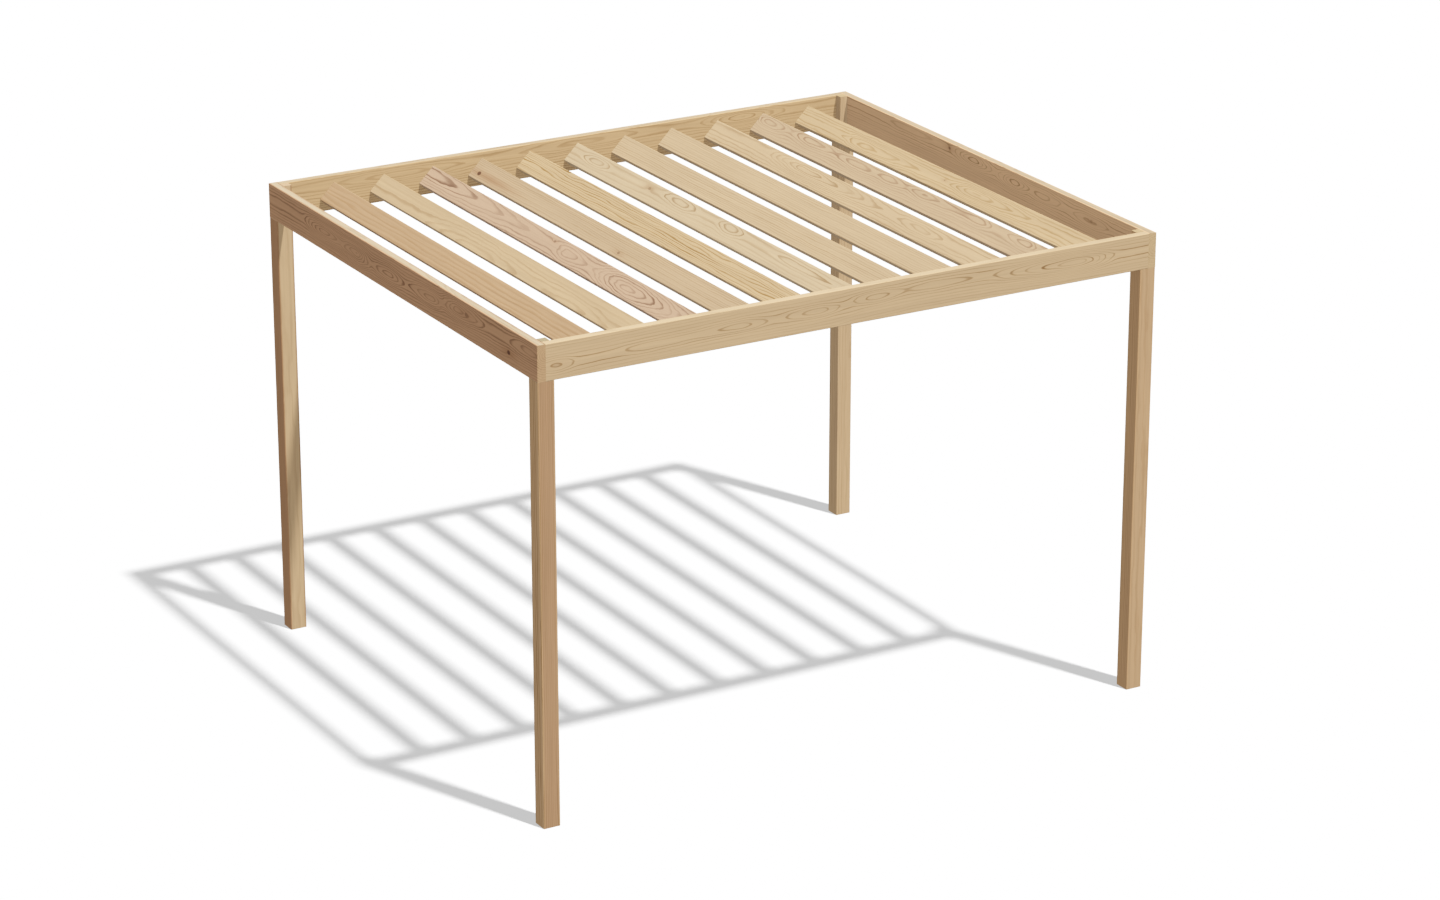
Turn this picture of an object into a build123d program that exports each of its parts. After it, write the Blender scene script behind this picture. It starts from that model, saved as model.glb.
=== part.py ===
from build123d import *
import os
from math import cos, radians, sin

# Outer size of the frame, over the outside faces of the posts and beams
frame_width = 3520
frame_depth = 3000

# Height from the ground to the shoulders of the posts, where the beams sit
clear_height = 2300

# Timber sections
post_side = 90
beam_thickness = 45
beam_height = 185
slat_width = 120
slat_thickness = 45

# Rounding of the long edges of every timber
arris_radius = 3

# Louvre slats: their number, the tilt of their wide faces from level, and the space
# between a side beam and the nearest edge of the slats' upper faces
slat_count = 11
slat_tilt_angle = 45
slat_end_gap = 225

# Housings in the cross beams that hold the slat ends
housing_depth = 12
housing_clearance = 0.5

# How far a cut runs past the timber that it cuts
cut_overrun = 10

# Sizes that follow from the ones above
frame_height = clear_height + beam_height
inner_width = frame_width - 2 * beam_thickness
inner_depth = frame_depth - 2 * beam_thickness
beam_centre_z = clear_height + beam_height / 2

# The upper faces of the slats are centred between the side beams. A slat's own centre
# lies half a thickness below its upper face, which sets it a little to the right.
face_run = slat_width * cos(radians(slat_tilt_angle))
slat_pitch = (inner_width - 2 * slat_end_gap - face_run) / (slat_count - 1)
slat_shift = slat_thickness / 2 * sin(radians(slat_tilt_angle))
slat_length = inner_depth + 2 * housing_depth
slat_centres = [
    (slat_shift + slat_pitch * (i - (slat_count - 1) / 2), beam_centre_z)
    for i in range(slat_count)
]


def slat_section(clearance=0):
    """Draw a slat's section, right edge raised, with a clearance all round."""
    RectangleRounded(
        slat_width + 2 * clearance,
        slat_thickness + 2 * clearance,
        arris_radius + clearance,
        rotation=slat_tilt_angle,
    )


def make_post(name, side_x, side_y):
    """A corner post, notched on both outer sides so that two beams sit on its shoulders."""
    centre_x = side_x * (frame_width - post_side) / 2
    centre_y = side_y * (frame_depth - post_side) / 2
    notch_thickness = beam_thickness + cut_overrun
    notch_length = post_side + 2 * cut_overrun
    notch_x = side_x * (inner_width + notch_thickness) / 2
    notch_y = side_y * (inner_depth + notch_thickness) / 2
    with BuildPart() as post:
        with BuildSketch(Plane.XY):
            with Locations((centre_x, centre_y)):
                RectangleRounded(post_side, post_side, arris_radius)
        extrude(amount=frame_height)
        with BuildSketch(Plane.XY.offset(clear_height)):
            with Locations((notch_x, centre_y)):
                Rectangle(notch_thickness, notch_length)
            with Locations((centre_x, notch_y)):
                Rectangle(notch_length, notch_thickness)
        extrude(amount=beam_height + cut_overrun, mode=Mode.SUBTRACT)
    post.part.label = name
    export_step(post.part, f"parts/{name}.step")


def make_side_beam(name, side_x):
    """A beam over the left or right pair of posts, as long as the frame is deep."""
    centre_x = side_x * (frame_width - beam_thickness) / 2
    with BuildPart() as beam:
        with BuildSketch(Plane.XZ):
            with Locations((centre_x, beam_centre_z)):
                RectangleRounded(beam_thickness, beam_height, arris_radius)
        extrude(amount=frame_depth / 2, both=True)
    beam.part.label = name
    export_step(beam.part, f"parts/{name}.step")


def make_cross_beam(name, side_y):
    """A beam between the side beams, with a tilted housing in its inner face for each slat."""
    centre_y = side_y * (frame_depth - beam_thickness) / 2
    inner_face = Plane.XZ.offset(-side_y * inner_depth / 2)
    with BuildPart() as beam:
        with BuildSketch(Plane.YZ):
            with Locations((centre_y, beam_centre_z)):
                RectangleRounded(beam_thickness, beam_height, arris_radius)
        extrude(amount=inner_width / 2, both=True)
        with BuildSketch(inner_face):
            with Locations(*slat_centres):
                slat_section(housing_clearance)
        extrude(amount=-side_y * housing_depth, mode=Mode.SUBTRACT)
    beam.part.label = name
    export_step(beam.part, f"parts/{name}.step")


def make_slat(name, centre):
    """A louvre slat, its ends seated on the floors of the housings."""
    with BuildPart() as slat:
        with BuildSketch(Plane.XZ):
            with Locations(centre):
                slat_section()
        extrude(amount=slat_length / 2, both=True)
    slat.part.label = name
    export_step(slat.part, f"parts/{name}.step")


os.makedirs("parts", exist_ok=True)

# Direction of each side from the middle of the frame
sides_x = {"left": -1, "right": 1}
sides_y = {"front": -1, "back": 1}

for end, side_y in sides_y.items():
    for side, side_x in sides_x.items():
        make_post(f"{end}_{side}_post", side_x, side_y)

for side, side_x in sides_x.items():
    make_side_beam(f"{side}_beam", side_x)

for end, side_y in sides_y.items():
    make_cross_beam(f"{end}_beam", side_y)

for i, centre in enumerate(slat_centres):
    make_slat(f"slat_{i + 1:02d}", centre)
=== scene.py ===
from dataclasses import dataclass
from math import cos, exp, pi, radians, sin

import bpy
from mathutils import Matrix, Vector

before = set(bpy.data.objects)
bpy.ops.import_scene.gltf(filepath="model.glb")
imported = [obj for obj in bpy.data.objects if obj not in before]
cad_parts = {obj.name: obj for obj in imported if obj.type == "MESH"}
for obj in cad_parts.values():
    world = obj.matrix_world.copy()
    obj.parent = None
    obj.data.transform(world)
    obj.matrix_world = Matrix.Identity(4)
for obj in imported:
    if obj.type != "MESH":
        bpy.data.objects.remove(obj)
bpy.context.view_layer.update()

# World directions
RIGHT = Vector((1, 0, 0))
BACK = Vector((0, 1, 0))
UP = Vector((0, 0, 1))
LEFT = -RIGHT
FRONT = -BACK

# Camera at the photograph's place: direction from the aim point, distance, lens and sensor in
# millimetres, and how far it sees
CAMERA_AZIMUTH = radians(-29.904)
CAMERA_ELEVATION = radians(20.3225)
CAMERA_DISTANCE = 23.8036
CAMERA_AIM = Vector((0.0891, 0, 1.1435))
CAMERA_LENS = 113.746
CAMERA_SENSOR = 36
CAMERA_SIGHT = 800

# Daylight: a small sun in front to the right, and a white sky that is brighter on the left and in
# front, darker below the horizon and brighter again straight below, with the sines of the angles
# over which it changes
SUN_TRAVEL = Vector((-0.1815, 0.4537, -1))
SUN_STRENGTH = 0.68 * pi
SUN_DIAMETER = radians(2.1)
SKY_ABOVE = (0.39, 0.39, 0.39, 1)
SKY_BELOW = (0.14, 0.14, 0.14, 1)
SKY_STRAIGHT_BELOW = (0.42, 0.42, 0.42, 1)
SKY_LEAN = Vector((-0.27, -0.17, 0))
HORIZON_SOFTNESS = 0.15
STRAIGHT_BELOW_FADE = (0.5, 0.9)

# Plain white floor, and a white backdrop beyond it that gives no light
FLOOR_SIZE = 400
FLOOR_COLOUR = (1, 1, 1, 1)
FLOOR_ROUGHNESS = 1
FLOOR_SPECULAR = 0
BACKDROP_COLOUR = (1, 1, 1, 1)

# Film-like response of the picture: deeper shade and softer highlights, the levels of light at
# which its curve is set, and which of the view's curves acts on all colours alike
TONE_POWER = 1.228
TONE_BEND = 0.532
TONE_LEVELS = (0.02, 0.05, 0.1, 0.2, 0.35, 0.5, 0.7, 0.85)
ALL_COLOURS_CURVE = 3

# Noise runs from 0 to 1 round its middle, with this detail where it varies along one line
NOISE_MIDDLE = 0.5
LINE_DETAIL = 2

# How far apart the noise of two seeds lies, and what sets the patterns of one board apart
SEED_STEP = 17.3
WAVE_SEED = 0.71
RIPPLE_SEED = 0.43
SWAY_SEED = 0.37
RING_SEED = 0.13
PATCH_SEED = 0.17
BLOTCH_SEED = 0.29
STREAK_SEED = 0.53
FIBRE_SEED = 0.83

# Sizes of the patterns in the wood, across and along the grain
BLOTCH_SIZE = (0.06, 0.6)
STREAK_SIZE = (0.010, 0.7)
FIBRE_SIZE = (0.0012, 0.06)
WAVE_SIZE = (0.035, 0.14)
RIPPLE_SIZE = (0.05, 0.5)
PATCH_SIZE = (0.06, 0.35)

# How much each pattern lightens and darkens the wood, and how much end grain darkens it
BLOTCH_STRENGTH = 0.07
STREAK_STRENGTH = 0.13
FIBRE_STRENGTH = 0.07
END_GRAIN_STRENGTH = 0.06

# Waves of the fibres shift the wood this much further along the grain than across it
WAVE_STRETCH = 5

# Where a board's middle lies on the curve of its pith, which runs from 0 to 1 both ways
PITH_MIDDLE_SHARE = 0.5

# Lengths of board over which the pith strays sideways and in depth
SWAY_ACROSS_LENGTH = 0.9
SWAY_DEPTH_LENGTH = 0.35

# Growth rings: how uneven they are, over how many rings, and the faintest year's late wood
RING_UNEVENNESS = 0.25
UNEVENNESS_RINGS = 1.6
FAINTEST_YEAR_SHARE = 0.4

# Swells of the rings: how far the top and the foot of each are rounded off, as shares of it
SWELL_TOP_SHARE = 0.15
SWELL_FOOT_SHARE = 0.3

# Late wood within a year's growth: where it is darkest and ends
LATE_PEAK_SHARE = 0.86
LATE_END_SHARE = 0.92

# The figure's strength in patches where it is faint, far from the pith and on a board's edges,
# and the noise over which a patch fades in
FAINT_PATCH_SHARE = 0.6
FAR_FIGURE_SHARE = 0.35
EDGE_FIGURE_SHARE = 0.6
PATCH_FADE = (0.35, 0.60)

# Faces of a board: how deep their colour goes, and how far to each side of that it changes
FACE_DEPTH = 0.006
FACE_BLEND = 0.003

# Surface of planed bare softwood
TIMBER_SPECULAR = 0.2
TIMBER_ROUGHNESS = 0.62
LATE_GLOSS = 0.10
FIBRE_ROUGHNESS = 0.075
LATE_RELIEF = 0.35
FIBRE_RELIEF = 0.5
STREAK_RELIEF = 0.3
RELIEF_DEPTH = 0.0008
RELIEF_STRENGTH = 0.35

# Knots: colours of the branch and of the wood that it stains, and how strong they are
BRANCH_COLOUR = (0.13, 0.06, 0.035, 1)
STAIN_COLOUR = (0.38, 0.19, 0.095, 1)
BRANCH_STRENGTH = 0.85
STAIN_STRENGTH = 0.55

# Knots: where along its trail the stain is strongest
TRAIL_MIDDLE_SHARE = 0.3

# Knots: heights of the hill over a branch between which its edge lies, the reach of branch, stain
# and swirl as multiples of its radius, and how many rings the swirl bends the figure by
BRANCH_EDGE = (0.25, 0.5)
BRANCH_LENGTH = 1.4
STAIN_WIDTH = 2
STAIN_LENGTH = 7
SWIRL_WIDTH = 2.2
SWIRL_LENGTH = 4
SWIRL_RINGS = 0.45

# Cosines of the angle to the grain between which a surface comes to show end grain
END_GRAIN_SLANT = (0.5, 0.9)


@dataclass
class Tone:
    """Colours of one kind of softwood, as linear light: early wood, the darker late wood, and
    the early wood on a board's edges and sawn ends where those differ."""

    early: tuple
    late: tuple
    edges: tuple = ()
    sawn_end: tuple = ()


@dataclass
class Swell:
    """A place where the growth rings bulge, which draws ovals, arches or arrows in the figure.
    With a skew it ends bluntly at one end and in a long point at the other."""

    along_share: float
    across_share: float
    length: float
    width: float
    rings: float
    skew: float = 0


@dataclass
class Knot:
    """A small branch cut through by the board's face, with a stained trail on one side of it."""

    along_share: float
    across_share: float
    radius: float
    darkness: float
    trail: float = 0


@dataclass
class Board:
    """How one board was sawn: its tone, the pith's place behind its shown face, the width of its
    growth rings, the share of a year from which late wood shows, how strong the figure is and how
    far it reaches from the pith, how far the pith sways, by how many rings the figure ripples and
    how far the fibres wave. The pith runs through the swells, or else straight at pith_across."""

    tone: Tone
    pith_across: float = 0
    pith_depth: float = 0.0125
    ring_width: float = 0.010
    late_share: float = 0.5
    figure: float = 0.9
    reach: float = 1
    sway: float = 0.002
    ripple: float = 0.2
    wave: float = 0.010
    swells: tuple = ()
    knots: tuple = ()


# Tones of the boards
PALE = Tone(early=(0.704, 0.503, 0.305), late=(0.28, 0.15, 0.055))
IVORY = Tone(early=(0.719, 0.535, 0.336), late=(0.28, 0.15, 0.055))
BUFF = Tone(early=(0.675, 0.478, 0.283), late=(0.28, 0.15, 0.055))
HONEY = Tone(early=(0.698, 0.493, 0.286), late=(0.34, 0.18, 0.05))
PINK = Tone(early=(0.645, 0.441, 0.296), late=(0.17, 0.075, 0.04))
ROSE = Tone(early=(0.655, 0.466, 0.292), late=(0.28, 0.14, 0.08))
TAN = Tone(early=(0.689, 0.497, 0.306), late=(0.36, 0.21, 0.09))
FAWN = Tone(early=(0.640, 0.455, 0.283), late=(0.36, 0.21, 0.09))
ORANGE = Tone(early=(0.581, 0.380, 0.221), late=(0.34, 0.18, 0.07))
# Back beam: the early wood on its broad faces is partly the wood's own tone and partly painted bounce
# light. It is lighter and more orange than on its top and bottom, standing in for light thrown back from
# the sunlit slats.
STRAW_WITH_PAINTED_BOUNCE = Tone(early=(0.681, 0.455, 0.247), late=(0.30, 0.16, 0.06), edges=(0.558, 0.422, 0.273))
CREAM = Tone(early=(0.675, 0.477, 0.284), late=(0.26, 0.13, 0.045), edges=(0.660, 0.482, 0.297))
WHEAT = Tone(early=(0.666, 0.457, 0.269), late=(0.38, 0.22, 0.10), sawn_end=(0.596, 0.423, 0.234))
AMBER = Tone(
    early=(0.653, 0.424, 0.235),
    late=(0.32, 0.16, 0.06),
    edges=(0.511, 0.313, 0.182),
    sawn_end=(0.443, 0.363, 0.222),
)
GINGER = Tone(
    early=(0.639, 0.400, 0.217),
    late=(0.38, 0.20, 0.09),
    edges=(0.607, 0.398, 0.230),
    sawn_end=(0.569, 0.407, 0.227),
)
UMBER = Tone(
    early=(0.478, 0.273, 0.148),
    late=(0.28, 0.14, 0.06),
    edges=(0.674, 0.470, 0.275),
    sawn_end=(0.654, 0.456, 0.286),
)
BROWN = Tone(
    early=(0.590, 0.346, 0.199),
    late=(0.17, 0.075, 0.035),
    edges=(0.601, 0.461, 0.304),
    sawn_end=(0.626, 0.407, 0.231),
)
# Right beam: the early wood on its broad faces is partly the wood's own tone and partly painted bounce
# light. It is much lighter and more orange than on its top and bottom, standing in for light thrown back
# from the sunlit slats onto its inner face.
SAND_WITH_PAINTED_BOUNCE = Tone(
    early=(0.825, 0.522, 0.302),
    late=(0.30, 0.16, 0.07),
    edges=(0.557, 0.416, 0.269),
    sawn_end=(0.694, 0.488, 0.281),
)

# Every board by name. Its place in this list seeds its patterns.
BOARDS = {
    "slat_01": Board(
        ORANGE,
        pith_across=0.13,
        pith_depth=0.06,
        ring_width=0.022,
        late_share=0.3,
        figure=0.45,
        ripple=0.8,
    ),
    "slat_02": Board(
        BUFF,
        pith_depth=0.0405,
        ring_width=0.030,
        figure=0.5,
        reach=0.06,
        wave=0.025,
        swells=(
            Swell(along_share=-0.25, across_share=-0.42, length=0.40, width=0.07, rings=2.1),
            Swell(along_share=0.10, across_share=-0.42, length=0.60, width=0.10, rings=3.1, skew=0.2),
        ),
    ),
    "slat_03": Board(
        PINK,
        pith_depth=0.0297,
        ring_width=0.022,
        figure=0.8,
        wave=0.020,
        swells=(
            Swell(along_share=-0.253, across_share=-0.02, length=0.375, width=0.11, rings=6.1, skew=0.25),
            Swell(along_share=-0.04, across_share=0.02, length=0.16, width=0.06, rings=2.1, skew=0.3),
            Swell(along_share=0.490, across_share=0.20, length=1.06, width=0.15, rings=4.1),
        ),
        knots=(Knot(along_share=0.013, across_share=0.23, radius=0.006, darkness=0.5),),
    ),
    "slat_04": Board(
        FAWN,
        pith_across=-0.12,
        pith_depth=0.06,
        figure=0.5,
        ripple=0.8,
        knots=(
            Knot(along_share=0.470, across_share=-0.17, radius=0.012, darkness=1.0, trail=0.40),
            Knot(along_share=-0.060, across_share=-0.27, radius=0.008, darkness=0.5),
        ),
    ),
    "slat_05": Board(HONEY, pith_across=0.11, pith_depth=0.04, ring_width=0.011, figure=1.0, ripple=2),
    "slat_06": Board(
        IVORY,
        pith_depth=0.0243,
        ring_width=0.018,
        figure=0.7,
        reach=0.035,
        wave=0.014,
        swells=(
            Swell(along_share=-0.30, across_share=0.15, length=0.30, width=0.030, rings=1.1, skew=0.4),
            Swell(along_share=-0.077, across_share=0.26, length=0.13, width=0.06, rings=2.1),
            Swell(along_share=0.100, across_share=0.25, length=0.18, width=0.06, rings=2.1),
            Swell(along_share=0.400, across_share=0.12, length=0.15, width=0.040, rings=2.1),
        ),
        knots=(Knot(along_share=0.207, across_share=0.16, radius=0.009, darkness=0.4),),
    ),
    "slat_07": Board(TAN, pith_across=0.12, pith_depth=0.06, figure=0.6, ripple=0.8),
    "slat_08": Board(TAN, pith_across=-0.12, pith_depth=0.06, figure=0.5, ripple=0.8),
    "slat_09": Board(
        PALE,
        pith_depth=0.0243,
        ring_width=0.018,
        figure=0.6,
        wave=0.020,
        ripple=0.6,
        swells=(
            Swell(along_share=-0.235, across_share=0.10, length=0.22, width=0.04, rings=2.1),
            Swell(along_share=0.17, across_share=0.20, length=0.45, width=0.07, rings=5.1, skew=0.4),
        ),
    ),
    "slat_10": Board(
        ROSE,
        pith_depth=0.027,
        ring_width=0.020,
        figure=0.75,
        reach=0.035,
        wave=0.016,
        swells=(
            Swell(along_share=-0.41, across_share=0.27, length=0.12, width=0.05, rings=2.1, skew=-0.4),
            Swell(along_share=-0.26, across_share=0.28, length=0.18, width=0.05, rings=2.1, skew=-0.4),
            Swell(along_share=-0.08, across_share=0.27, length=0.22, width=0.06, rings=3.1, skew=0.4),
            Swell(along_share=0.03, across_share=0.25, length=0.20, width=0.06, rings=2.1, skew=0.4),
            Swell(along_share=0.15, across_share=0.22, length=0.26, width=0.06, rings=3.1, skew=0.4),
            Swell(along_share=0.31, across_share=0.27, length=0.26, width=0.06, rings=3.1, skew=0.3),
            Swell(along_share=0.46, across_share=0.22, length=0.16, width=0.06, rings=3.1, skew=0.3),
        ),
    ),
    "slat_11": Board(
        HONEY,
        pith_depth=0.0216,
        ring_width=0.016,
        figure=0.6,
        wave=0.020,
        ripple=0.8,
        swells=(
            Swell(along_share=-0.10, across_share=0.05, length=0.30, width=0.05, rings=3.1, skew=0.4),
            Swell(along_share=0.27, across_share=-0.10, length=0.30, width=0.05, rings=3.1, skew=0.4),
        ),
        knots=(Knot(along_share=-0.003, across_share=0.03, radius=0.004, darkness=0.4),),
    ),
    "front_beam": Board(
        CREAM,
        pith_depth=0.0329,
        ring_width=0.014,
        late_share=0.7,
        figure=0.85,
        reach=0.05,
        swells=(
            Swell(along_share=-0.483, across_share=-0.11, length=0.10, width=0.05, rings=2.1),
            Swell(along_share=-0.335, across_share=-0.05, length=0.22, width=0.04, rings=1.1, skew=-0.3),
            Swell(along_share=-0.19, across_share=0.02, length=0.20, width=0.04, rings=2.1, skew=0.33),
            Swell(along_share=-0.063, across_share=0.04, length=0.14, width=0.04, rings=2.1, skew=0.3),
            Swell(along_share=0.033, across_share=0.14, length=0.15, width=0.04, rings=2.1),
            Swell(along_share=0.133, across_share=0.18, length=0.23, width=0.04, rings=1.1),
            Swell(along_share=0.373, across_share=0.07, length=0.29, width=0.06, rings=5.1, skew=0.38),
        ),
        knots=(Knot(along_share=-0.483, across_share=-0.11, radius=0.012, darkness=0.15),),
    ),
    "back_beam": Board(
        STRAW_WITH_PAINTED_BOUNCE,
        pith_depth=0.0329,
        ring_width=0.014,
        figure=0.65,
        wave=0.016,
        ripple=0.6,
        swells=(
            Swell(along_share=-0.30, across_share=0.25, length=0.40, width=0.05, rings=2.1),
            Swell(along_share=0.02, across_share=0.32, length=0.40, width=0.05, rings=2.1),
            Swell(along_share=0.31, across_share=0.30, length=0.25, width=0.06, rings=4.1),
        ),
    ),
    "left_beam": Board(
        BROWN,
        pith_depth=0.0522,
        ring_width=0.012,
        figure=1.1,
        reach=0.06,
        wave=0.016,
        swells=(
            Swell(along_share=-0.47, across_share=0.20, length=0.20, width=0.05, rings=2.1),
            Swell(along_share=-0.22, across_share=0.16, length=0.20, width=0.06, rings=4.1, skew=0.3),
            Swell(along_share=-0.13, across_share=0.04, length=0.16, width=0.05, rings=3.1, skew=-0.3),
            Swell(along_share=0.03, across_share=-0.02, length=0.18, width=0.05, rings=3.1),
            Swell(along_share=0.15, across_share=0.00, length=0.16, width=0.08, rings=5.1),
            Swell(along_share=0.28, across_share=0.06, length=0.26, width=0.06, rings=5.1, skew=0.25),
        ),
        knots=(
            Knot(along_share=-0.256, across_share=0.167, radius=0.011, darkness=0.5),
            Knot(along_share=-0.403, across_share=-0.150, radius=0.011, darkness=1.0),
        ),
    ),
    "right_beam": Board(
        SAND_WITH_PAINTED_BOUNCE,
        pith_depth=0.0402,
        ring_width=0.012,
        late_share=0.6,
        figure=0.75,
        reach=0.06,
        wave=0.014,
        swells=(
            Swell(along_share=-0.33, across_share=0.08, length=0.18, width=0.05, rings=2.1),
            Swell(along_share=-0.18, across_share=0.17, length=0.18, width=0.05, rings=2.1),
            Swell(along_share=-0.09, across_share=0.20, length=0.14, width=0.06, rings=4.1),
            Swell(along_share=0.04, across_share=0.30, length=0.18, width=0.06, rings=4.1),
            Swell(along_share=0.25, across_share=0.34, length=0.30, width=0.04, rings=1.1),
        ),
        knots=(
            Knot(along_share=0.119, across_share=0.336, radius=0.008, darkness=0.6),
            Knot(along_share=-0.330, across_share=0.100, radius=0.008, darkness=0.3),
        ),
    ),
    "front_left_post": Board(AMBER, pith_across=-0.06, pith_depth=0.10, figure=1.0, ripple=0.8),
    "front_right_post": Board(GINGER, pith_across=0.08, pith_depth=0.075, figure=0.5, ripple=0.8),
    "back_left_post": Board(UMBER, pith_across=0.06, pith_depth=0.03, figure=0.6, ripple=0.8),
    "back_right_post": Board(WHEAT, pith_across=0.075, pith_depth=0.10, figure=0.6, ripple=0.8),
}


class Field:
    """A value that varies over a surface: the output of a shader node, with arithmetic."""

    def __init__(self, tree, socket):
        self.tree = tree
        self.socket = socket

    def __add__(self, other):
        return calculate("ADD", self, other)

    def __sub__(self, other):
        return calculate("SUBTRACT", self, other)

    def __rsub__(self, other):
        return calculate("SUBTRACT", other, self)

    def __mul__(self, other):
        return calculate("MULTIPLY", self, other)

    def __truediv__(self, other):
        return calculate("DIVIDE", self, other)

    __radd__ = __add__


def add_node(tree, kind, inputs, **options):
    """Add a shader node, set its options, and fill its inputs with constants or fields."""
    node = tree.nodes.new(kind)
    for option, value in options.items():
        setattr(node, option, value)
    for socket, value in inputs.items():
        if isinstance(value, Field):
            tree.links.new(value.socket, node.inputs[socket])
        else:
            node.inputs[socket].default_value = value
    return node


def calculate(operation, *values):
    """One step of arithmetic on numbers and fields."""
    tree = next(value.tree for value in values if isinstance(value, Field))
    node = add_node(tree, "ShaderNodeMath", dict(enumerate(values)), operation=operation)
    return Field(tree, node.outputs[0])


def calculate_vector(operation, *values):
    """One step of arithmetic on vectors and vector fields, which gives a vector field."""
    tree = next(value.tree for value in values if isinstance(value, Field))
    node = add_node(tree, "ShaderNodeVectorMath", dict(enumerate(values)), operation=operation)
    return Field(tree, node.outputs["Vector"])


def dot_product(first, second):
    """Dot product of a vector field with another or with a constant vector."""
    inputs = {0: first, 1: second}
    node = add_node(first.tree, "ShaderNodeVectorMath", inputs, operation="DOT_PRODUCT")
    return Field(first.tree, node.outputs["Value"])


def step_up(value, low, high):
    """A smooth step from 0 to 1 as the value goes from low to high."""
    inputs = {"Value": value, "From Min": low, "From Max": high}
    node = add_node(value.tree, "ShaderNodeMapRange", inputs, interpolation_type="SMOOTHSTEP")
    return Field(value.tree, node.outputs["Result"])


def fill_up(share, lowest):
    """Value that goes from the lowest to 1 as the share goes from 0 to 1."""
    return share * (1 - lowest) + lowest


def blend_colours(share, first, second):
    """Colour that goes from the first to the second as the share goes from 0 to 1."""
    node = add_node(share.tree, "ShaderNodeMix", {}, data_type="RGBA")
    # This node's sockets share their names, so they are told apart by identifier
    sockets = {"Factor_Float": share, "A_Color": first, "B_Color": second}
    for socket in node.inputs:
        if socket.identifier in sockets:
            value = sockets[socket.identifier]
            if isinstance(value, Field):
                share.tree.links.new(value.socket, socket)
            else:
                socket.default_value = value
    output = next(s for s in node.outputs if s.identifier == "Result_Color")
    return Field(share.tree, output)


def shade_colour(colour, factor):
    """Colour made lighter or darker by a varying factor."""
    inputs = {"Vector": colour, "Scale": factor}
    node = add_node(colour.tree, "ShaderNodeVectorMath", inputs, operation="SCALE")
    return Field(colour.tree, node.outputs["Vector"])


def noise_node(place, size, seed):
    """Noise whose features have the given size across and along the grain."""
    across, along = size
    shift = seed * SEED_STEP
    scale = (1 / across, 1 / along, 1 / across)
    moved = calculate_vector("MULTIPLY_ADD", place, scale, (shift, shift, shift))
    return add_node(place.tree, "ShaderNodeTexNoise", {"Vector": moved, "Scale": 1})


def grain_noise(place, size, seed):
    """Noise from 0 to 1 along the grain."""
    return Field(place.tree, noise_node(place, size, seed).outputs["Fac"])


def line_noise(value, seed):
    """Noise from 0 to 1 along one line."""
    inputs = {"W": value + seed * SEED_STEP, "Scale": 1, "Detail": LINE_DETAIL}
    node = add_node(value.tree, "ShaderNodeTexNoise", inputs, noise_dimensions="1D")
    return Field(value.tree, node.outputs["Fac"])


def swing(noise, reach):
    """Value that swings to both sides of 0 by up to the reach, as the noise goes from 0 to 1."""
    return (noise - NOISE_MIDDLE) * (reach / NOISE_MIDDLE)


def bell(squared_distance):
    """Bell curve: 1 in its middle, and less with distance."""
    return calculate("POWER", exp(-1), squared_distance)


def face_offset(place, middle, width, length):
    """Offset from a point of the board's face, in widths and lengths."""
    scale = Vector((1 / width, 1 / length, 0))
    return calculate_vector("MULTIPLY_ADD", place, scale, -middle * scale)


def hill(place, middle, width, length):
    """A smooth hill of height 1 round a point of the board's face, through its thickness."""
    offset = face_offset(place, middle, width, length)
    return bell(dot_product(offset, offset))


def bulge(place, swell, size):
    """A swell's cone of height 1, with a rounded top and foot, through the board's thickness."""
    offset = face_offset(place, face_point(swell, size), swell.width, swell.length)
    if swell.skew:
        reach = calculate_vector("ABSOLUTE", offset)
        offset = calculate_vector("MULTIPLY_ADD", reach, (0, swell.skew, 0), offset)
    fall = calculate("SQRT", dot_product(offset, offset) + SWELL_TOP_SHARE**2)
    return calculate("SMOOTH_MAX", 1 + SWELL_TOP_SHARE - fall, 0, SWELL_FOOT_SHARE)


def board_axes(name):
    """Directions across, along and out of the face that a board shows in the photograph."""
    if name.startswith("slat"):
        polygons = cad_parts[name].data.polygons
        out = max(polygons, key=lambda polygon: polygon.area).normal.copy()
        if out.z < 0:
            out.negate()
        return BACK.cross(out), BACK, out
    if name.endswith("post"):
        return BACK, UP, LEFT
    if name in ("front_beam", "back_beam"):
        return UP, RIGHT, FRONT
    return UP, BACK, LEFT


def board_extent(name, axes):
    """Middle of a board in the world, and its size along each of its axes."""
    corners = [vertex.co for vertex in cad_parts[name].data.vertices]
    reaches = [[corner.dot(axis) for corner in corners] for axis in axes]
    middle = Vector()
    for axis, reach in zip(axes, reaches):
        middle += axis * (min(reach) + max(reach)) / 2
    return middle, [max(reach) - min(reach) for reach in reaches]


def board_place(tree, middle, axes):
    """Place on the board, from its middle: across, along and out of its face, in metres."""
    coordinates = add_node(tree, "ShaderNodeTexCoord", {})
    offset = calculate_vector("SUBTRACT", Field(tree, coordinates.outputs["Object"]), middle)
    parts = {part: dot_product(offset, axis) for part, axis in enumerate(axes)}
    place = add_node(tree, "ShaderNodeCombineXYZ", parts)
    return Field(tree, place.outputs["Vector"])


def wave_place(place, wave, seed):
    """Place on the board once its fibres have waved to and fro."""
    noise = Field(place.tree, noise_node(place, WAVE_SIZE, seed).outputs["Color"])
    shift = calculate_vector("SUBTRACT", noise, (NOISE_MIDDLE, NOISE_MIDDLE, NOISE_MIDDLE))
    return calculate_vector("MULTIPLY_ADD", shift, (wave, wave * WAVE_STRETCH, 0), place)


def split_place(place):
    """The three parts of a place on the board."""
    node = add_node(place.tree, "ShaderNodeSeparateXYZ", {"Vector": place})
    return [Field(place.tree, output) for output in node.outputs]


def face_point(mark, size):
    """Place of a swell or knot on the board, from its middle."""
    width, length, _ = size
    return Vector((mark.across_share * width, mark.along_share * length, 0))


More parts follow.
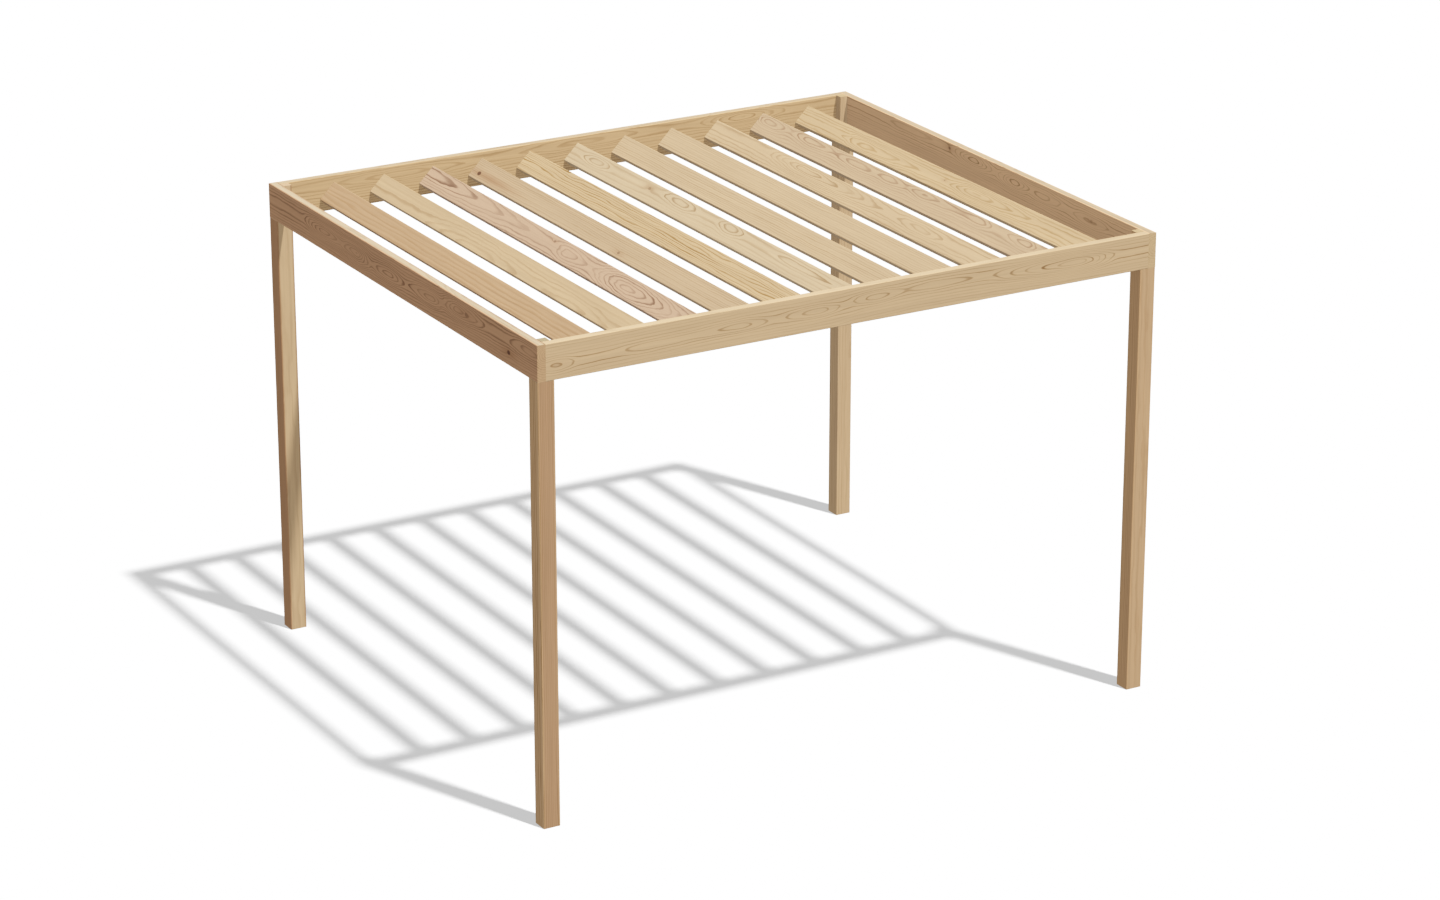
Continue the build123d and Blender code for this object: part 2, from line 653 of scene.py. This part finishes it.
def pith_line(board, along, size):
    """Where across the board the pith runs: through the swells, or straight where there are none."""
    if not board.swells:
        return board.pith_across
    width, length, _ = size
    inputs = {"Value": along / length + PITH_MIDDLE_SHARE}
    node = add_node(along.tree, "ShaderNodeFloatCurve", inputs)
    points = node.mapping.curves[0].points
    first, last = points
    first.location = (0, board.swells[0].across_share + PITH_MIDDLE_SHARE)
    last.location = (1, board.swells[-1].across_share + PITH_MIDDLE_SHARE)
    for swell in board.swells:
        points.new(swell.along_share + PITH_MIDDLE_SHARE, swell.across_share + PITH_MIDDLE_SHARE)
    node.mapping.update()
    return (Field(along.tree, node.outputs["Value"]) - PITH_MIDDLE_SHARE) * width


def pith_offset(board, place, size, seed):
    """Offset from the pith, which strays along the board: across the board and in depth."""
    across, along, out = split_place(place)
    _, _, thickness = size
    sway_across = swing(line_noise(along / SWAY_ACROSS_LENGTH, seed), board.sway)
    sway_depth = swing(line_noise(along / SWAY_DEPTH_LENGTH, seed + SWAY_SEED), board.sway)
    side = across - pith_line(board, along, size) + sway_across
    depth = out - (thickness / 2 - board.pith_depth) + sway_depth
    return side, depth


def growth_rings(board, place, size, side, depth, seed):
    """Count of growth rings from the pith, with the swells and knots of the board."""
    rings = calculate("SQRT", side * side + depth * depth) / board.ring_width
    rings = rings + swing(grain_noise(place, RIPPLE_SIZE, seed + RIPPLE_SEED), board.ripple)
    for swell in board.swells:
        rings = rings - bulge(place, swell, size) * swell.rings
    for knot in board.knots:
        width = SWIRL_WIDTH * knot.radius
        length = SWIRL_LENGTH * knot.radius
        rings = rings + hill(place, face_point(knot, size), width, length) * SWIRL_RINGS
    unevenness = line_noise(rings / UNEVENNESS_RINGS, seed + RING_SEED)
    return rings + swing(unevenness, RING_UNEVENNESS)


def late_wood(board, rings, seed):
    """Dark line at the end of each year's growth, stronger in some years than in others."""
    phase = calculate("FRACT", rings)
    year = calculate("FLOOR", rings)
    inputs = {"W": year + seed * SEED_STEP}
    node = add_node(rings.tree, "ShaderNodeTexWhiteNoise", inputs, noise_dimensions="1D")
    chance = Field(rings.tree, node.outputs["Value"])
    darkening = step_up(phase, board.late_share, LATE_PEAK_SHARE)
    return darkening * (1 - step_up(phase, LATE_END_SHARE, 1)) * fill_up(chance, FAINTEST_YEAR_SHARE)


def figure_strength(board, place, side, edge, seed):
    """How strongly the late wood shows: less in patches, far from the pith and on edges."""
    patch = step_up(grain_noise(place, PATCH_SIZE, seed + PATCH_SEED), *PATCH_FADE)
    offset = side / board.reach
    near = bell(offset * offset)
    strength = fill_up(patch, FAINT_PATCH_SHARE) * fill_up(near, FAR_FIGURE_SHARE)
    return strength * fill_up(1 - edge, EDGE_FIGURE_SHARE)


def stain_knots(colour, board, place, size):
    """Add the board's knots to its colour: a dark branch in wood that it stains."""
    for knot in board.knots:
        point = face_point(knot, size)
        trail_middle = point - Vector((0, TRAIL_MIDDLE_SHARE * knot.trail, 0))
        trail_length = STAIN_LENGTH * knot.radius + knot.trail / 2
        stain = hill(place, trail_middle, STAIN_WIDTH * knot.radius, trail_length)
        branch = step_up(hill(place, point, knot.radius, BRANCH_LENGTH * knot.radius), *BRANCH_EDGE)
        colour = blend_colours(stain * (STAIN_STRENGTH * knot.darkness), colour, STAIN_COLOUR)
        colour = blend_colours(branch * (BRANCH_STRENGTH * knot.darkness), colour, BRANCH_COLOUR)
    return colour


def board_edge(place, thickness):
    """0 on the two faces of a board and 1 on the edges between them."""
    _, _, out = split_place(place)
    depth = thickness / 2 - calculate("ABSOLUTE", out)
    return step_up(depth, FACE_DEPTH - FACE_BLEND, FACE_DEPTH + FACE_BLEND)


def early_colour(tone, edge, end):
    """Colour of the early wood, which can differ on a board's edges and sawn ends."""
    colour = (*tone.early, 1)
    if tone.edges:
        colour = blend_colours(edge, colour, (*tone.edges, 1))
    if tone.sawn_end:
        colour = blend_colours(end, colour, (*tone.sawn_end, 1))
    return colour


def end_grain(tree, along_axis):
    """1 on the sawn ends of the board and 0 elsewhere."""
    geometry = add_node(tree, "ShaderNodeNewGeometry", {})
    facing = dot_product(Field(tree, geometry.outputs["Normal"]), along_axis)
    return step_up(calculate("ABSOLUTE", facing), *END_GRAIN_SLANT)


def shade(blotch, streak, fibre, end):
    """Factor by which the wood is lighter or darker than its plain colour."""
    light = 1 + swing(blotch, BLOTCH_STRENGTH)
    light = light + swing(streak, STREAK_STRENGTH)
    light = light + swing(fibre, FIBRE_STRENGTH)
    return light - end * END_GRAIN_STRENGTH


def timber(name, board, seed):
    """Planed softwood for one board, with the figure that its sawing shows."""
    material = bpy.data.materials.new(f"timber_{name}")
    material.use_nodes = True
    tree = material.node_tree
    axes = board_axes(name)
    _, along_axis, _ = axes
    middle, size = board_extent(name, axes)
    _, _, thickness = size
    place = board_place(tree, middle, axes)

    waved = wave_place(place, board.wave, seed + WAVE_SEED)
    edge = board_edge(waved, thickness)
    side, depth = pith_offset(board, waved, size, seed)
    rings = growth_rings(board, waved, size, side, depth, seed)
    late = late_wood(board, rings, seed) * figure_strength(board, place, side, edge, seed)
    blotch = grain_noise(place, BLOTCH_SIZE, seed + BLOTCH_SEED)
    streak = grain_noise(place, STREAK_SIZE, seed + STREAK_SEED)
    fibre = grain_noise(place, FIBRE_SIZE, seed + FIBRE_SEED)

    end = end_grain(tree, along_axis)
    early = early_colour(board.tone, edge, end)
    colour = blend_colours(late * board.figure, early, (*board.tone.late, 1))
    colour = shade_colour(colour, shade(blotch, streak, fibre, end))
    colour = stain_knots(colour, board, place, size)
    roughness = TIMBER_ROUGHNESS - late * LATE_GLOSS + swing(fibre, FIBRE_ROUGHNESS)
    height = late * LATE_RELIEF + fibre * FIBRE_RELIEF + streak * STREAK_RELIEF

    inputs = {"Height": height, "Strength": RELIEF_STRENGTH, "Distance": RELIEF_DEPTH}
    bump = add_node(tree, "ShaderNodeBump", inputs)
    shader = tree.nodes["Principled BSDF"]
    shader.inputs["Specular IOR Level"].default_value = TIMBER_SPECULAR
    tree.links.new(colour.socket, shader.inputs["Base Color"])
    tree.links.new(roughness.socket, shader.inputs["Roughness"])
    tree.links.new(bump.outputs["Normal"], shader.inputs["Normal"])
    return material


def dress_boards():
    """Give every board its own timber, and let it block the sun's light but not the sky's."""
    for seed, (name, board) in enumerate(BOARDS.items()):
        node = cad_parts[name]
        node.visible_diffuse = False
        node.data.materials.clear()
        node.data.materials.append(timber(name, board, seed))


def make_floor():
    """A wide pale floor under the posts, which throws no light back on them."""
    bpy.ops.mesh.primitive_plane_add(size=FLOOR_SIZE)
    floor = bpy.context.object
    floor.name = "floor"
    floor.visible_diffuse = False
    floor.visible_glossy = False
    material = bpy.data.materials.new("pale_floor")
    material.use_nodes = True
    shader = material.node_tree.nodes["Principled BSDF"]
    shader.inputs["Base Color"].default_value = FLOOR_COLOUR
    shader.inputs["Roughness"].default_value = FLOOR_ROUGHNESS
    shader.inputs["Specular IOR Level"].default_value = FLOOR_SPECULAR
    floor.data.materials.append(material)


def make_sun():
    """The sun, which casts the shadows."""
    sun = bpy.data.lights.new("sun", "SUN")
    sun.energy = SUN_STRENGTH
    sun.angle = SUN_DIAMETER
    lamp = bpy.data.objects.new("sun", sun)
    lamp.rotation_mode = "QUATERNION"
    lamp.rotation_quaternion = SUN_TRAVEL.to_track_quat("-Z", "Y")
    bpy.context.collection.objects.link(lamp)


def make_sky():
    """The sky's light, with the backdrop that the camera sees in place of the sky."""
    sky = bpy.data.worlds.new("sky")
    sky.use_nodes = True
    tree = sky.node_tree
    coordinates = add_node(tree, "ShaderNodeTexCoord", {})
    direction = Field(tree, coordinates.outputs["Generated"])
    straight_below = step_up(dot_product(direction, -UP), *STRAIGHT_BELOW_FADE)
    colour = blend_colours(straight_below, SKY_BELOW, SKY_STRAIGHT_BELOW)
    above = step_up(dot_product(direction, UP), -HORIZON_SOFTNESS, HORIZON_SOFTNESS)
    colour = blend_colours(above, colour, SKY_ABOVE)
    colour = shade_colour(colour, dot_product(direction, SKY_LEAN) + 1)
    rays = add_node(tree, "ShaderNodeLightPath", {})
    colour = blend_colours(Field(tree, rays.outputs["Is Camera Ray"]), colour, BACKDROP_COLOUR)
    tree.links.new(colour.socket, tree.nodes["Background"].inputs["Color"])
    bpy.context.scene.world = sky


def make_camera():
    """The camera at the photograph's viewing angle."""
    lens = bpy.data.cameras.new("camera")
    lens.lens = CAMERA_LENS
    lens.sensor_width = CAMERA_SENSOR
    lens.sensor_fit = "HORIZONTAL"
    lens.clip_end = CAMERA_SIGHT
    camera = bpy.data.objects.new("camera", lens)
    level = cos(CAMERA_ELEVATION)
    towards_camera = Vector(
        (
            sin(CAMERA_AZIMUTH) * level,
            -cos(CAMERA_AZIMUTH) * level,
            sin(CAMERA_ELEVATION),
        )
    )
    camera.location = CAMERA_AIM + towards_camera * CAMERA_DISTANCE
    camera.rotation_mode = "QUATERNION"
    camera.rotation_quaternion = (-towards_camera).to_track_quat("-Z", "Y")
    bpy.context.collection.objects.link(camera)
    bpy.context.scene.camera = camera


def film_response(light):
    """Light on the picture for light in the scene, each from black at 0 to white at 1."""
    bent = light**TONE_POWER
    return (1 + TONE_BEND) * bent / (bent + TONE_BEND)


def set_response():
    """Show the scene through the film-like response."""
    view = bpy.context.scene.view_settings
    view.view_transform = "Standard"
    view.use_curve_mapping = True
    brightness = view.curve_mapping.curves[ALL_COLOURS_CURVE]
    for light in TONE_LEVELS:
        brightness.points.new(light, film_response(light))
    view.curve_mapping.update()


dress_boards()
make_floor()
make_sun()
make_sky()
make_camera()
set_response()
